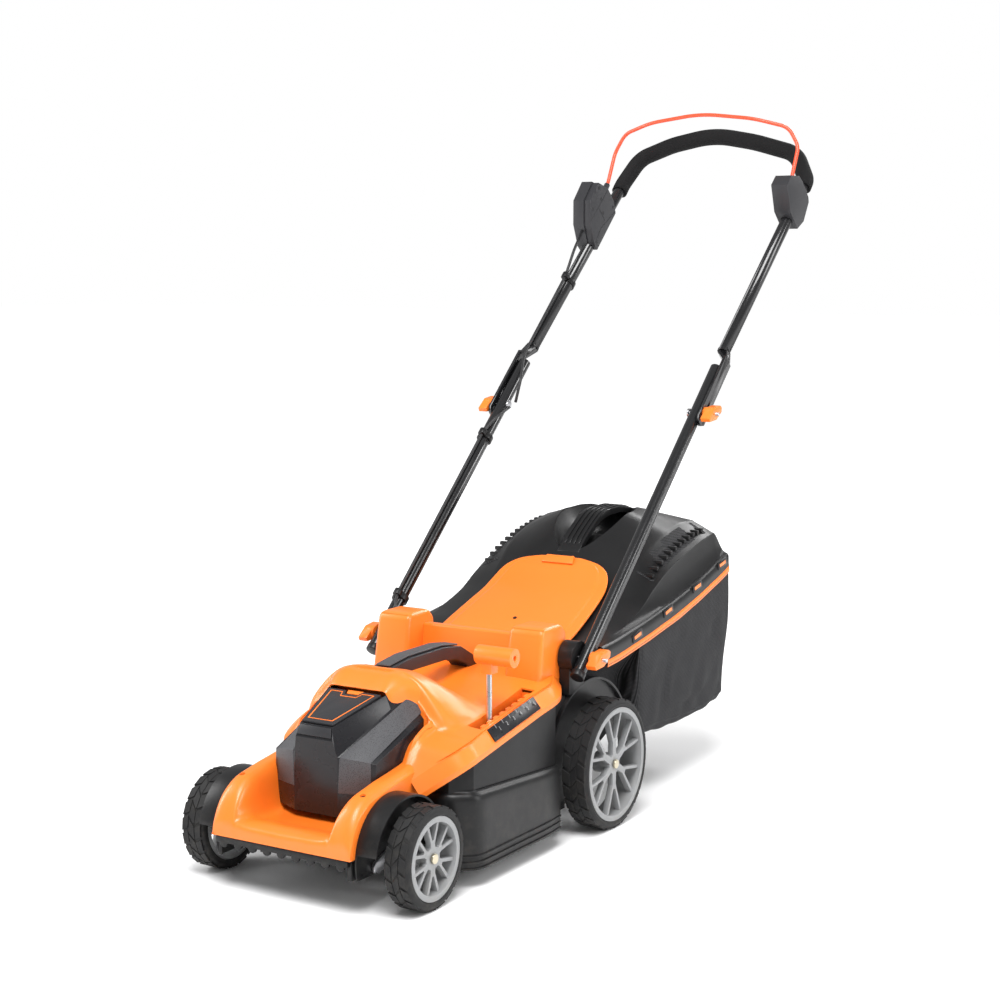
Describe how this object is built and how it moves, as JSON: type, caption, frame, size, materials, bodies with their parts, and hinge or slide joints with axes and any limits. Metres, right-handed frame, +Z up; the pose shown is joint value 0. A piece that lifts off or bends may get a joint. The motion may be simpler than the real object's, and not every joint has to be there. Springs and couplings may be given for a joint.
{
  "type": "cordless rotary lawn mower",
  "caption": "Walk-behind cordless rotary mower with a domed deck, grass box, wheels on swinging axles and a folding U-shaped handle.",
  "frame": {"origin": "on the ground under the middle of the whole machine's box", "axes": "+Z up, -Y towards the nose, +Y towards the handle, +X to the side with the height lever"},
  "size_m": [0.462, 1.3547, 1.1438],
  "materials": {
    "black_body": "satin moulded",
    "orange_body": "satin orange",
    "black_gloss": "satin",
    "grey_panel": "speckled",
    "dark_grey": "textured",
    "rim_grey": "satin",
    "tread": "moulded",
    "steel": "drawn",
    "nut_steel": "passivated yellow",
    "black_tube": "gloss powder coat",
    "orange_rod": "powder coat",
    "foam": "closed-cell foam",
    "bag": "woven mesh",
    "board": "lacquer",
    "motor_metal": "cast",
    "cable_skin": "smooth",
    "red_part": "moulded"
  },
  "bodies": {
    "deck": {"deck_shell": "black_body", "front_comb": "black_body", "discharge_chute": "black_body", "top_cover": "orange_body", "height_scale": "black_gloss", "motor_hood": "black_gloss", "battery_bay": "black_body", "hood_side_panels": "grey_panel", "carry_handle": "dark_grey", "carry_handle_inlay": "grey_panel", "motor": "motor_metal", "controller_board": "board", "hinge_pins": "steel", "flap_springs": "steel", "handle_brackets": "black_body", "bolts_and_screws": "steel"},
    "front_axle_swing": {"front_axle": "steel", "front_wheel_nuts": "nut_steel"},
    "rear_axle_swing": {"rear_axle": "steel", "rear_wheel_nuts": "nut_steel"},
    "front_wheel_right": {"front_tyre_right": "tread", "front_rim_right": "rim_grey"},
    "front_wheel_left": {"front_tyre_left": "tread", "front_rim_left": "rim_grey"},
    "rear_wheel_right": {"rear_tyre_right": "tread", "rear_rim_right": "rim_grey"},
    "rear_wheel_left": {"rear_tyre_left": "tread", "rear_rim_left": "rim_grey"},
    "height_link_bar": {"height_link": "steel"},
    "height_lever": {"height_lever_rod": "steel", "height_lever_grip": "orange_body"},
    "battery_door": {"battery_lid": "dark_grey"},
    "battery": {"battery_pack": "black_body"},
    "battery_release": {"battery_button": "red_part"},
    "start_key": {"safety_key": "red_part"},
    "cutter": {"blade_shaft": "steel", "blade_holder": "motor_metal", "blade": "steel", "blade_nut": "nut_steel"},
    "flap": {"rear_flap": "orange_body"},
    "grass_box": {"box_lid": "black_body", "box_bag": "bag", "box_mouth_frame": "black_body"},
    "lower_handle": {"lower_tubes": "black_tube", "upper_pivot_bolts": "steel", "cable_clips_lower": "black_body", "cable_lower": "cable_skin"},
    "upper_handle": {"upper_tube": "black_tube", "foam_grip": "foam", "switch_box_back": "dark_grey", "switch_box_front": "dark_grey", "bail_holder": "dark_grey", "cable_clip_upper": "black_body", "cable_upper": "cable_skin"},
    "start_lock": {"lock_button": "orange_body"},
    "bail": {"bail_rod": "orange_rod"},
    "knob_low_right": {"lower_knob_right": "orange_body"},
    "knob_low_left": {"lower_knob_left": "orange_body"},
    "knob_high_right": {"upper_knob_right": "orange_body"},
    "knob_high_left": {"upper_knob_left": "orange_body"}
  },
  "joints": [
    {"name": "height_lever_swing", "type": "hinge", "parent": "deck", "child": "height_lever", "pos_m": [0.148, -0.37923, 0.118], "axis": [-1, 0, 0], "range_deg": [-9.5, 38]},
    {"name": "front_axle_turn", "type": "hinge", "parent": "deck", "child": "front_axle_swing", "pos_m": [0, -0.62427, 0.05964], "axis": [-1, 0, 0], "range_deg": [-12, 48]},
    {"name": "rear_axle_turn", "type": "hinge", "parent": "deck", "child": "rear_axle_swing", "pos_m": [0, -0.16167, 0.08864], "axis": [-1, 0, 0], "range_deg": [-12, 48]},
    {"name": "height_link_turn", "type": "hinge", "parent": "front_axle_swing", "child": "height_link_bar", "pos_m": [0.1, -0.63045, 0.07866], "axis": [-1, 0, 0], "range_deg": [-48, 12]},
    {"name": "front_wheel_right_spin", "type": "hinge", "parent": "front_axle_swing", "child": "front_wheel_right", "pos_m": [0, -0.58623, 0.072], "axis": [1, 0, 0], "continuous": true},
    {"name": "front_wheel_left_spin", "type": "hinge", "parent": "front_axle_swing", "child": "front_wheel_left", "pos_m": [0, -0.58623, 0.072], "axis": [1, 0, 0], "continuous": true},
    {"name": "rear_wheel_right_spin", "type": "hinge", "parent": "rear_axle_swing", "child": "rear_wheel_right", "pos_m": [0, -0.12363, 0.101], "axis": [1, 0, 0], "continuous": true},
    {"name": "rear_wheel_left_spin", "type": "hinge", "parent": "rear_axle_swing", "child": "rear_wheel_left", "pos_m": [0, -0.12363, 0.101], "axis": [1, 0, 0], "continuous": true},
    {"name": "battery_lid_hinge", "type": "hinge", "parent": "deck", "child": "battery_door", "pos_m": [0, -0.50409, 0.25585], "axis": [-1, 0, 0], "range_deg": [0, 105]},
    {"name": "battery_lift", "type": "slide", "parent": "deck", "child": "battery", "axis": [0, -0.2827, 0.9592], "range_m": [0, 0.055]},
    {"name": "battery_button_press", "type": "slide", "parent": "battery", "child": "battery_release", "axis": [0, 0.2827, -0.9592], "range_m": [0, 0.0025], "stiffness_N_per_m": 600, "springref_m": -0.001},
    {"name": "safety_key_pull", "type": "slide", "parent": "deck", "child": "start_key", "axis": [0, -0.2827, 0.9592], "range_m": [0, 0.01]},
    {"name": "blade_spin", "type": "hinge", "parent": "deck", "child": "cutter", "pos_m": [0, -0.37123, 0], "axis": [0, 0, 1], "continuous": true},
    {"name": "rear_flap_hinge", "type": "hinge", "parent": "deck", "child": "flap", "pos_m": [0, -0.15423, 0.262], "axis": [1, 0, 0], "range_deg": [0, 70], "stiffness_Nm_per_rad": 0.3, "springref_deg": -17.19},
    {"name": "grass_box_slide", "type": "slide", "parent": "deck", "child": "grass_box", "axis": [0, 1, 0], "range_m": [0, 0.3]},
    {"name": "lower_handle_fold", "type": "hinge", "parent": "deck", "child": "lower_handle", "pos_m": [0, -0.17023, 0.272], "axis": [1, 0, 0], "range_deg": [0, 102]},
    {"name": "upper_handle_fold", "type": "hinge", "parent": "lower_handle", "child": "upper_handle", "pos_m": [0, 0.20077, 0.62], "axis": [-1, 0, 0], "range_deg": [-150, 0]},
    {"name": "bail_squeeze", "type": "hinge", "parent": "upper_handle", "child": "bail", "pos_m": [0, 0.55377, 0.988], "axis": [-1, 0, 0], "range_deg": [0, 17], "stiffness_Nm_per_rad": 4, "springref_deg": -14.32},
    {"name": "lock_button_press", "type": "slide", "parent": "upper_handle", "child": "start_lock", "axis": [1, 0, 0], "range_m": [0, 0.0035], "stiffness_N_per_m": 500, "springref_m": -0.001},
    {"name": "lower_knob_right_turn", "type": "hinge", "parent": "deck", "child": "knob_low_right", "pos_m": [0, -0.17023, 0.272], "axis": [1, 0, 0], "continuous": true},
    {"name": "lower_knob_left_turn", "type": "hinge", "parent": "deck", "child": "knob_low_left", "pos_m": [0, -0.17023, 0.272], "axis": [1, 0, 0], "continuous": true},
    {"name": "upper_knob_right_turn", "type": "hinge", "parent": "lower_handle", "child": "knob_high_right", "pos_m": [0, 0.20077, 0.62], "axis": [1, 0, 0], "continuous": true},
    {"name": "upper_knob_left_turn", "type": "hinge", "parent": "lower_handle", "child": "knob_high_left", "pos_m": [0, 0.20077, 0.62], "axis": [1, 0, 0], "continuous": true}
  ],
  "couplings": [
    {"joint": "front_axle_turn", "follows": "height_lever_swing", "ratio": 1.263},
    {"joint": "rear_axle_turn", "follows": "height_lever_swing", "ratio": 1.263},
    {"joint": "height_link_turn", "follows": "height_lever_swing", "ratio": -1.263},
    {"joint": "battery_lift", "follows": "battery_lid_hinge", "m_per_rad": 0.03}
  ]
}
